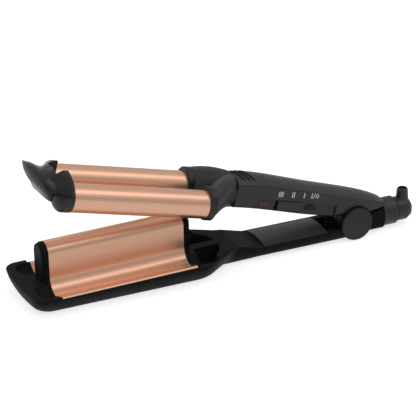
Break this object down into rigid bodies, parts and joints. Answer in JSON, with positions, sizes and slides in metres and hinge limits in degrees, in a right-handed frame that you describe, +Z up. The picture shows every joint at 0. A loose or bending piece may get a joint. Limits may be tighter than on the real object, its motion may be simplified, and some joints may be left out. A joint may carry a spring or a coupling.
{
  "type": "hair waver",
  "caption": "Sprung hair waver: two heated barrels on a handle close into the troughs of a finned heated plate on a lower arm.",
  "frame": {"origin": "centre of the lower jaw's flat underside, under the middle of the wave plate", "axes": "+X from the cool tip to the cord swivel, +Y across to the side without controls, +Z up from the surface it rests on"},
  "size_m": [0.3459, 0.0728, 0.1155],
  "materials": {
    "rose_gold_aluminium": "satin anodised rose gold",
    "black_moulding": "fine satin black moulding",
    "satin_moulding": "satin black moulding",
    "heat_resistant_moulding": "satin black glass-filled moulding",
    "hinge_cap": "matt black moulding",
    "rubber_rib": "matt black rubber",
    "key_plastic": "textured black key",
    "switch_body": "gloss black",
    "board": "green solder mask",
    "indicator_red": "dull red unlit lens",
    "heater_aluminium": "extruded",
    "steel": "plain"
  },
  "bodies": {
    "lower_arm": {"lower_arm_shell": "black_moulding", "lower_arm_cover": "black_moulding", "wave_plate": "rose_gold_aluminium", "fin_cap_front": "black_moulding", "fin_cap_rear": "black_moulding", "plate_cradle": "heat_resistant_moulding", "plate_heater": "heater_aluminium", "thermal_fuse": "steel", "lower_screws": "steel", "hinge_pin": "steel", "hinge_cap_left": "hinge_cap", "hinge_cap_right": "hinge_cap", "return_spring": "steel", "swivel_collar": "black_moulding"},
    "upper_arm": {"barrel_left": "rose_gold_aluminium", "barrel_right": "rose_gold_aluminium", "barrel_heater_left": "heater_aluminium", "barrel_heater_right": "heater_aluminium", "barrel_collar_left": "heat_resistant_moulding", "barrel_collar_right": "heat_resistant_moulding", "barrel_yoke": "satin_moulding", "cool_tip": "heat_resistant_moulding", "thumb_lip": "heat_resistant_moulding", "handle_top_shell": "satin_moulding", "handle_side_shell": "satin_moulding", "control_panel": "black_moulding", "grip_ribs": "rubber_rib", "slide_switch": "switch_body", "push_switch": "switch_body", "circuit_board": "board", "indicator_lens": "indicator_red", "indicator_led": "indicator_red", "handle_screws": "steel"},
    "heat_slider": {"heat_knob": "key_plastic"},
    "power_key": {"power_button": "key_plastic"},
    "cord_swivel": {"cord_swivel": "satin_moulding"}
  },
  "joints": [
    {"name": "jaw_hinge", "type": "hinge", "parent": "lower_arm", "child": "upper_arm", "pos_m": [0.2075, 0, 0.0142], "axis": [0, -1, 0], "range_deg": [0, 15.2], "stiffness_Nm_per_rad": 2, "springref_deg": -34.38, "deforming": ["return_spring"]},
    {"name": "heat_slide", "type": "slide", "parent": "upper_arm", "child": "heat_slider", "axis": [-0.9699, 0, 0.2436], "range_m": [0, 0.0026]},
    {"name": "power_press", "type": "slide", "parent": "upper_arm", "child": "power_key", "axis": [0, 1, 0], "range_m": [0, 0.0008], "stiffness_N_per_m": 400, "springref_m": -0.0005},
    {"name": "swivel_turn", "type": "hinge", "parent": "lower_arm", "child": "cord_swivel", "pos_m": [0.2508, 0, 0.012], "axis": [1, 0, 0], "continuous": true}
  ]
}
